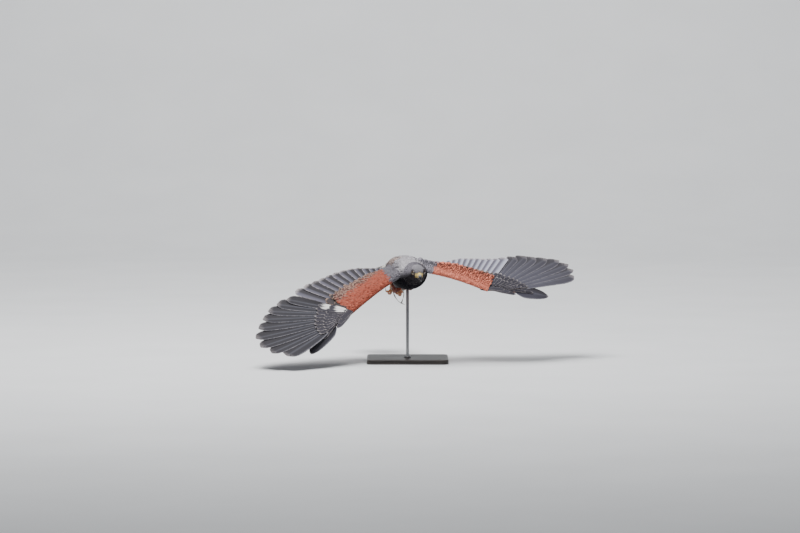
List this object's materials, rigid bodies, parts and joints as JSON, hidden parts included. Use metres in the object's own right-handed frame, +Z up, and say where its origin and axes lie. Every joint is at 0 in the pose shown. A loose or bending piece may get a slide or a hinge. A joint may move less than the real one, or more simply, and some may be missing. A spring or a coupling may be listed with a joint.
{
  "type": "harris hawk flight model",
  "caption": "Life-size still model of a harris hawk in flight, banking with spread wings and trailing legs, held over a flat base by one rod.",
  "frame": {"origin": "middle of the underside of the stand's base", "axes": "+Z up, +X toward the bird's left wing, across the view of the picture; the bird heads toward -Y and a little to +X, and banks with its right wing low"},
  "size_m": [1.0152, 0.6689, 0.3402],
  "materials": {
    "dark_plumage": "matte contour feathers, dark brown to slate",
    "rufous_plumage": "matte small feathers, chestnut",
    "flight_feathers": "soft sheen along the vanes",
    "white_plumage": "matte tail coverts and tail band",
    "yellow_skin": "scaled bare skin, satin",
    "bill_horn": "polished horn",
    "claw_horn": "polished horn",
    "eye": "wet gloss, dark brown",
    "leather_strap": "worn smooth leather",
    "stand_base_paint": "satin lacquer over wood",
    "stand_rod_steel": "brushed"
  },
  "bodies": {
    "root": {"torso": "dark_plumage", "neck": "dark_plumage", "head": "dark_plumage", "bill_upper": "bill_horn", "bill_lower": "bill_horn", "eye_left": "eye", "eye_right": "eye", "tail": "flight_feathers", "wing_right_arm": "rufous_plumage", "wing_right_hand": "flight_feathers", "wing_left_arm": "rufous_plumage", "wing_left_hand": "flight_feathers", "thigh_right": "rufous_plumage", "shank_right": "yellow_skin", "foot_right": "yellow_skin", "claw_right_inner": "claw_horn", "claw_right_middle": "claw_horn", "claw_right_outer": "claw_horn", "claw_right_hind": "claw_horn", "thigh_left": "rufous_plumage", "shank_left": "yellow_skin", "foot_left": "yellow_skin", "claw_left_inner": "claw_horn", "claw_left_middle": "claw_horn", "claw_left_outer": "claw_horn", "claw_left_hind": "claw_horn", "anklet_right": "leather_strap", "jess_right": "leather_strap", "anklet_left": "leather_strap", "jess_left": "leather_strap", "stand_base": "stand_base_paint", "stand_rod": "stand_rod_steel"}
  },
  "joints": []
}
